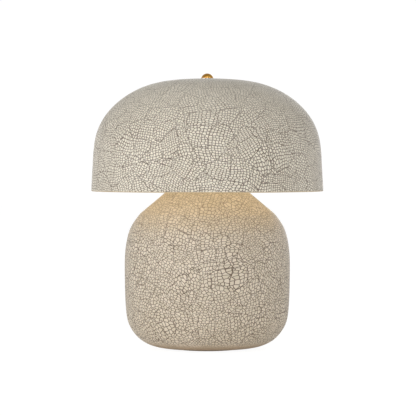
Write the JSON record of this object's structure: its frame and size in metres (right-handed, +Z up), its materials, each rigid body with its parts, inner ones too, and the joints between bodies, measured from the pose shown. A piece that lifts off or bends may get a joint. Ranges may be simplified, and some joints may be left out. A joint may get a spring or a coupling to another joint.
{
  "type": "table lamp",
  "caption": "Table lamp with a bulbous crackle-glazed ceramic base, a matching ceramic dome shade on a wire harp and a brass half-ball nut.",
  "frame": {"origin": "centre of the foot's underside, on the table", "axes": "+Z up along the lamp's axis, -Y to the front, +Y to the back with the cord inlet, X along the harp"},
  "size_m": [0.4198, 0.4198, 0.4986],
  "materials": {
    "body_glaze": "crackle glaze",
    "shade_glaze": "crackle glaze",
    "foot_felt": "felt",
    "black_rubber": "matte",
    "zinc_steel": "zinc plated",
    "nickel_steel": "nickel plated",
    "polished_brass": "polished",
    "finial_brass": "aged and polished",
    "liner_card": "matte",
    "dark_phenolic": "moulded",
    "black_glass": "glossy",
    "bulb_glass": "frosted, lit",
    "clear_glass": "clear",
    "lit_filament": "lit"
  },
  "bodies": {
    "base": {"foot_felt": "foot_felt", "body_vase": "body_glaze", "cord_grommet": "black_rubber", "stem_tube": "zinc_steel", "plate_washer": "zinc_steel", "lock_washer": "zinc_steel", "foot_nut": "zinc_steel", "neck_gasket": "black_rubber", "neck_cap": "polished_brass", "neck_nut": "polished_brass", "harp_saddle": "nickel_steel", "harp_wire": "nickel_steel", "socket_cap": "polished_brass", "socket_set_screw": "zinc_steel", "socket_shell": "polished_brass", "socket_liner": "liner_card", "switch_block": "dark_phenolic", "terminal_screw_left": "polished_brass", "terminal_screw_right": "nickel_steel", "screw_shell": "polished_brass", "centre_contact": "polished_brass"},
    "knob": {"switch_shaft": "nickel_steel", "switch_knob": "dark_phenolic"},
    "swivel": {"shade_stud": "polished_brass", "shade_seat_pad": "foot_felt"},
    "shade": {"shade_dome": "shade_glaze"},
    "top_nut": {"finial_washer": "nickel_steel", "finial": "finial_brass"},
    "bulb": {"bulb_tip": "nickel_steel", "bulb_insulator": "black_glass", "bulb_cap": "nickel_steel", "bulb_glass": "bulb_glass", "bulb_post": "clear_glass", "bulb_filaments": "lit_filament"},
    "sleeve_left": {"harp_sleeve_left": "nickel_steel"},
    "sleeve_right": {"harp_sleeve_right": "nickel_steel"}
  },
  "joints": [
    {"name": "knob_turn", "type": "hinge", "parent": "base", "child": "knob", "pos_m": [0, -0.02, 0.3654], "axis": [0, -1, 0], "continuous": true},
    {"name": "shade_swivel", "type": "hinge", "parent": "base", "child": "swivel", "pos_m": [0, 0, 0.4765], "axis": [0, 0, 1], "continuous": true},
    {"name": "shade_lift", "type": "slide", "parent": "swivel", "child": "shade", "axis": [0, 0, 1], "range_m": [0, 0.22]},
    {"name": "top_nut_off", "type": "slide", "parent": "shade", "child": "top_nut", "axis": [0, 0, 1], "range_m": [0, 0.02]},
    {"name": "bulb_out", "type": "slide", "parent": "base", "child": "bulb", "axis": [0, 0, 1], "range_m": [0, 0.022]},
    {"name": "sleeve_left_lift", "type": "slide", "parent": "base", "child": "sleeve_left", "axis": [0, 0, 1], "range_m": [0, 0.012]},
    {"name": "sleeve_right_lift", "type": "slide", "parent": "base", "child": "sleeve_right", "axis": [0, 0, 1], "range_m": [0, 0.012]}
  ]
}
